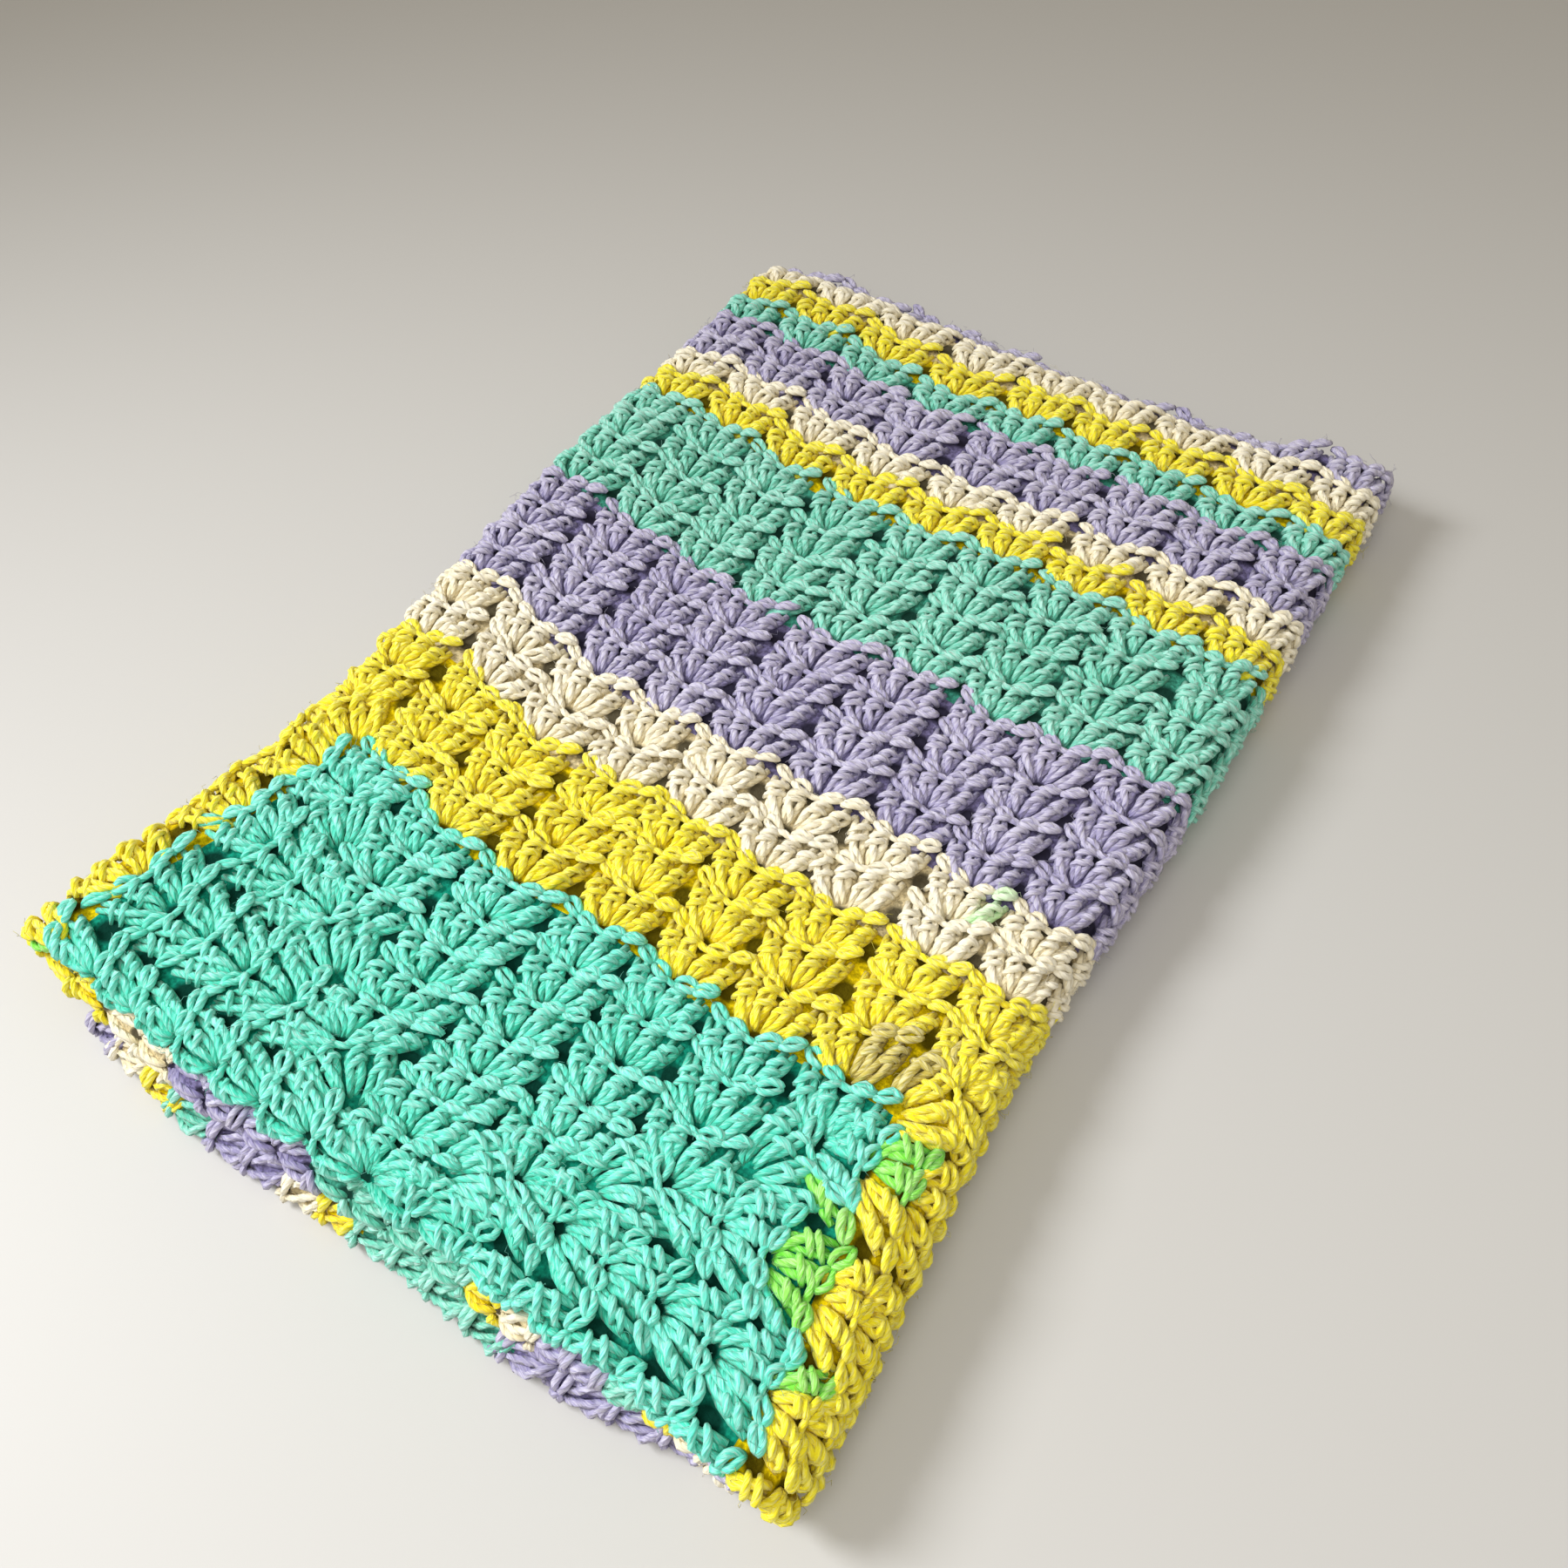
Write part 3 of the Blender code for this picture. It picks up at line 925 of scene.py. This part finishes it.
def yarn_material(yarn):
    """Plied acrylic yarn: twisted plies and fine fibres, painted shade low in the stitches and in the
    ply grooves, painted glints, and sheen.
    """
    lit, painted_shade = YARNS[yarn]
    nodes = Nodes(f"{yarn}_yarn")
    length, turn = nodes.coordinates("yarn")
    twist = nodes.maths("ADD", nodes.maths("MULTIPLY", length, 1 / PLY_TURN), turn)
    phase = nodes.maths("MULTIPLY", twist, float(PLIES))
    wobble = nodes.maths("MULTIPLY", nodes.noise(*PLY_NOISE), PLY_WOBBLE)
    wave = nodes.maths("FRACT", nodes.maths("ADD", phase, wobble))
    ply = nodes.maths("SINE", nodes.maths("MULTIPLY", wave, math.pi))
    place = nodes.node("ShaderNodeCombineXYZ")
    nodes.link(nodes.maths("MULTIPLY", length, FIBRES_ALONG), place.inputs[0])
    nodes.link(nodes.maths("MULTIPLY", twist, FIBRES_ROUND), place.inputs[1])
    nodes.link(nodes.attribute("tint"), place.inputs[2])
    fibres = nodes.noise(*FIBRE_NOISE, place.outputs[0])

    # Painted shade: the lower a point stands in the stitch, and the further into a ply groove, the
    # darker and more saturated it is painted, down to the shade colour.
    depth = nodes.spread(nodes.attribute("depth"), *DEPTH_RANGE)
    share = nodes.maths("POWER", depth, DEPTH_POWER)
    share = nodes.maths("MULTIPLY", share, nodes.spread(ply, *GROOVE_RANGE))
    share = nodes.maths("MULTIPLY", share, nodes.spread(fibres, *FIBRE_RANGE))
    tint = nodes.maths("MULTIPLY", nodes.attribute("tint"), TINT_STRENGTH)
    share = nodes.maths("ADD", share, tint, clamp=True)
    saturated = nodes.node("ShaderNodeGamma")
    saturated.inputs["Color"].default_value = (*lit, 1.0)
    nodes.link(nodes.spread(share, *GAMMA_RANGE), saturated.inputs["Gamma"])
    colour = nodes.mix(nodes.spread(share, *LIT_RANGE), painted_shade, saturated.outputs[0])
    # Painted highlights: glinting fibres are painted paler, and more so where the yarn is painted lit.
    painted_glint = tuple(value + (1 - value) * PAINTED_GLINT_PALENESS for value in lit)
    glint = nodes.maths("MULTIPLY", nodes.spread(fibres, *GLINT_RANGE), share)
    nodes.link(nodes.mix(glint, colour, painted_glint), nodes.shader.inputs["Base Color"])

    height = nodes.maths("ADD", ply, nodes.maths("MULTIPLY", fibres, FIBRE_RELIEF_SHARE))
    nodes.emboss(height, YARN_RELIEF_STRENGTH, YARN_RELIEF)
    nodes.link(nodes.spread(fibres, *ROUGHNESS_RANGE), nodes.shader.inputs["Roughness"])
    nodes.material.diffuse_color = (*lit, 1)
    return nodes.finish(YARN_SURFACE)


MATERIALS = {yarn: yarn_material(yarn) for yarn in YARNS}
CORE_MATERIALS = {yarn: core_material(yarn) for yarn in CORE_YARNS}

# The corners of a shell and the middles of its two ends, in shell pitches across and rounds out.
SHELL_OUTLINE = ((-0.5, 0), (0.5, 0), (-0.5, 1), (0.5, 1), (0, 0), (0, 1))

# Shells whose middle is further along than this are on the outside of the front fold, or reach
# just round it.
OUTSIDE_FROM = -0.008


def shell_reach(shells):
    """The lowest and the highest distance along the folded cross-section that each shell covers."""
    out = shells[:, OUTWARD]
    side = np.stack([out[:, 1], -out[:, 0]], axis=-1)
    lengths = []
    for aside, away in SHELL_OUTLINE:
        points = shells[:, BASE] + aside * SHELL_PITCH * side + away * ROUND_HEIGHT * out
        along = points[:, 1] + row_shift(points[:, 0], points[:, 1])
        lengths.append(path_across(points[:, 0], np.abs(along)))
    return np.min(lengths, axis=0), np.max(lengths, axis=0)


# Every shell, and where it lies once the throw is folded.
SHELLS = all_shells()
SHELL_LOW, SHELL_HIGH = shell_reach(SHELLS)
SHELL_MIDDLES = SHELLS[:, BASE] + SHELLS[:, OUTWARD] * ROUND_HEIGHT / 2
SHELL_ROUNDS = SHELLS[:, LEVEL].astype(int)
OUTSIDE = SHELL_MIDDLES[:, 1] > OUTSIDE_FROM
ON_LEFT_FLAP = SHELL_LOW < LEFT_CREASE - LEFT_FOLD_LENGTH
ON_FLAP = SHELL_LOW > RIGHT_FOLD_END
ON_FOLD = (SHELL_HIGH > RIGHT_CREASE) & ~ON_FLAP
PANELS = {"bundle": ~ON_FLAP & ~ON_FOLD, "fold": ON_FOLD, "flap": ON_FLAP}


def detail_of(panel, outside, left_flap):
    """How finely shells are drawn, by where they lie."""
    if panel == "bundle":
        if left_flap:
            return MEDIUM if outside else COARSE
        return FINE if outside else COARSE
    if panel == "fold":
        return FINE if outside else MEDIUM
    return MEDIUM


def build_shells(name, panel, chosen, yarn):
    """One piece of yarn made of the chosen shells."""
    parts = []
    for outside in (True, False):
        for left_flap in (True, False):
            group = chosen & (OUTSIDE == outside) & (ON_LEFT_FLAP == left_flap)
            if group.any():
                parts.append(sweep(SHELLS[group], detail_of(panel, outside, left_flap)))
    arrays = join(parts)
    mesh = yarn_mesh(name, arrays)
    mesh.materials.append(MATERIALS[yarn])
    if arrays["yarns"].any():
        for change in CHANGE_YARNS:
            mesh.materials.append(MATERIALS[change])
    piece = bpy.data.objects.new(name, mesh)
    bpy.context.scene.collection.objects.link(piece)
    return piece


def attach(piece, panel):
    """The bundle and the flap ride on their bodies, and the side fold's place is baked into its mesh.
    """
    if panel == "bundle":
        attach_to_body(piece, UPPER_BODY)
    elif panel == "flap":
        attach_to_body(piece, LOWER_BODY)
    else:
        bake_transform(piece)


def nodes_of(panel, band_name):
    """The CAD nodes of one band in one panel."""
    endings = (band_name, f"outside_{band_name}", f"inside_{band_name}")
    return [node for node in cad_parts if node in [f"{panel}_{ending}" for ending in endings]]


for band, (band_name, _, yarn) in enumerate(BANDS):
    in_band = np.array([BAND_OF_ROUND[level] == band for level in SHELL_ROUNDS])
    for panel, in_panel in PANELS.items():
        chosen = in_band & in_panel
        if not chosen.any():
            continue
        piece = build_shells(f"yarn_{panel}_{band_name}", panel, chosen, yarn)
        stood_for = nodes_of(panel, band_name)
        if panel == "fold" and not (in_band & ON_FLAP).any():
            # The band has no piece on the flap, so this piece stands for the flap's node too.
            stood_for += nodes_of("flap", band_name)
        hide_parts(*stood_for)
        attach(piece, panel)

# The sheet at the back of the stitches, which stands for the yarn there and is coloured in painted
# shade: how far below the middle of the cloth it lies, where across the square it is divided, and how
# close its grid is, which is closer round the front fold.
CORE_LIFT = -0.0007
CORE_SPLIT = 0.0885
CORE_STEP = ROUND_HEIGHT / 4
CORE_EDGE_GAP = 0.001
FRONT_FOLD_STEP = 0.0009
FRONT_FOLD_SPAN = 0.012


def core_lines(start, end):
    """Grid values from start to end, even but for the two ends."""
    lines = np.arange(round(start / CORE_STEP), round(end / CORE_STEP) + 1) * CORE_STEP
    inside = (lines > start + CORE_EDGE_GAP) & (lines < end - CORE_EDGE_GAP)
    return np.concatenate([[start], lines[inside], [end]])


def finer_at_front(lines):
    """These grid values, closer together round the front fold, which is at 0."""
    near = np.arange(-FRONT_FOLD_SPAN, FRONT_FOLD_SPAN, FRONT_FOLD_STEP)
    return np.sort(np.concatenate([lines[np.abs(lines) > FRONT_FOLD_SPAN], near]))


def build_core(name, start, end):
    """The thin folded sheet at the back of the stitches, coloured band by band in painted shade
    colours.
    """
    across = core_lines(start, end)
    along = finer_at_front(core_lines(-HALF_SIDE, HALF_SIDE))
    grid_across, grid_along = np.meshgrid(across, along, indexing="ij")
    points = fold(grid_across, grid_along, np.full(grid_across.shape, CORE_LIFT))
    points = above_table(points).reshape(-1, 3)
    columns = len(along)
    i, j = np.meshgrid(np.arange(len(across) - 1), np.arange(columns - 1), indexing="ij")
    first = (i * columns + j).ravel()
    faces = np.stack([first, first + columns, first + columns + 1, first + 1], axis=-1)
    mesh = bpy.data.meshes.new(name)
    mesh.from_pydata(points.tolist(), [], faces.tolist())
    for yarn in CORE_YARNS:
        mesh.materials.append(CORE_MATERIALS[yarn])

    middle_across = np.abs(across[:-1] + across[1:]) / 2
    middle_along = np.abs(along[:-1] + along[1:]) / 2
    from_centre = np.maximum(middle_across[:, None], middle_along[None, :]).ravel()
    rounds = np.clip(from_centre / ROUND_HEIGHT, 0, ROUNDS - 1).astype(int)
    slots = [CORE_YARNS.index(BANDS[BAND_OF_ROUND[level]][2]) for level in rounds]
    mesh.polygons.foreach_set("material_index", slots)
    flat = np.stack([grid_across.ravel(), grid_along.ravel()], axis=-1)
    layer = mesh.uv_layers.new(name="flat")
    layer.data.foreach_set("uv", flat[faces.ravel()].astype(np.float32).ravel())
    mesh.shade_smooth()
    core = bpy.data.objects.new(name, mesh)
    bpy.context.scene.collection.objects.link(core)
    return core


upper_core = build_core("core_bundle", -HALF_SIDE, CORE_SPLIT)
lower_core = build_core("core_flap", CORE_SPLIT, HALF_SIDE)
attach(upper_core, "bundle")
attach(lower_core, "fold")

# The table, a hair below the yarn that is pressed flat on it.
TABLE_REACH = 3
TABLE_HEIGHT = -0.0005
TABLE_CORNERS = ((-1, -1), (1, -1), (1, 1), (-1, 1))
TABLE_SURFACE = {"Base Color": (0.535, 0.532, 0.525, 1), "Roughness": 0.55}

floor_mesh = bpy.data.meshes.new("floor")
floor_points = [(x * TABLE_REACH, y * TABLE_REACH, 0) for x, y in TABLE_CORNERS]
floor_mesh.from_pydata(floor_points, [], [(0, 1, 2, 3)])
floor_mesh.materials.append(Nodes("pale_table").finish(TABLE_SURFACE))
floor = bpy.data.objects.new("floor", floor_mesh)
floor.location.z = TABLE_HEIGHT
bpy.context.scene.collection.objects.link(floor)

# Soft studio light: a warm surround, a large lamp on the left whose pool fades towards the back, and
# a weak one above.
WORLD_COLOUR = (1.0, 0.90, 0.73, 1)
WORLD_STRENGTH = 0.42

world = bpy.data.worlds.new("studio")
bpy.context.scene.world = world
world.use_nodes = True
background = world.node_tree.nodes["Background"]
background.inputs["Color"].default_value = WORLD_COLOUR
background.inputs["Strength"].default_value = WORLD_STRENGTH


def add_lamp(light, place, target, power, colour):
    """Hangs a lamp at its place and points it at its target."""
    light.energy = power
    light.color = colour
    lamp = bpy.data.objects.new(light.name, light)
    lamp.location = place
    lamp.rotation_euler = (Vector(target) - Vector(place)).to_track_quat("-Z", "Y").to_euler()
    bpy.context.scene.collection.objects.link(lamp)


key = bpy.data.lights.new("key", "SPOT")
key.shadow_soft_size = 0.28
key.spot_size = math.radians(68)
key.spot_blend = 1.0
add_lamp(
    key,
    place=(-1.05, -0.55, 1.05),
    target=(0.20, -0.34, 0),
    power=100,
    colour=(0.98, 0.99, 1.0),
)
overhead = bpy.data.lights.new("overhead", "AREA")
overhead.shape = "DISK"
overhead.size = 0.6
add_lamp(
    overhead,
    place=(0.15, -0.45, 0.80),
    target=(0, -0.1, 0),
    power=3.4,
    colour=(1.0, 0.99, 0.97),
)

bpy.context.scene.view_settings.view_transform = "Standard"

# The camera, at the photograph's viewing angle.
CAMERA_TARGET = Vector((0.0227, -0.0312, BOX_HIGH.z))
CAMERA_DISTANCE = 0.3723
CAMERA_AZIMUTH = math.radians(36.83)
CAMERA_ELEVATION = math.radians(55.07)
CAMERA_ROLL = math.radians(-3.49)
CAMERA_LENS = 31.27

forward = Vector(
    (
        -math.sin(CAMERA_AZIMUTH) * math.cos(CAMERA_ELEVATION),
        math.cos(CAMERA_AZIMUTH) * math.cos(CAMERA_ELEVATION),
        -math.sin(CAMERA_ELEVATION),
    )
)
level_right = Vector((math.cos(CAMERA_AZIMUTH), math.sin(CAMERA_AZIMUTH), 0))
level_up = level_right.cross(forward)
right = level_right * math.cos(CAMERA_ROLL) + level_up * math.sin(CAMERA_ROLL)
up = right.cross(forward)
camera_data = bpy.data.cameras.new("camera")
camera_data.lens = CAMERA_LENS
camera_data.sensor_width = 36
camera_data.clip_start = 0.01
camera = bpy.data.objects.new("camera", camera_data)
camera_place = CAMERA_TARGET - forward * CAMERA_DISTANCE
camera_turn = Matrix((right, up, -forward)).transposed().to_4x4()
camera.matrix_world = Matrix.Translation(camera_place) @ camera_turn
bpy.context.scene.collection.objects.link(camera)
bpy.context.scene.camera = camera
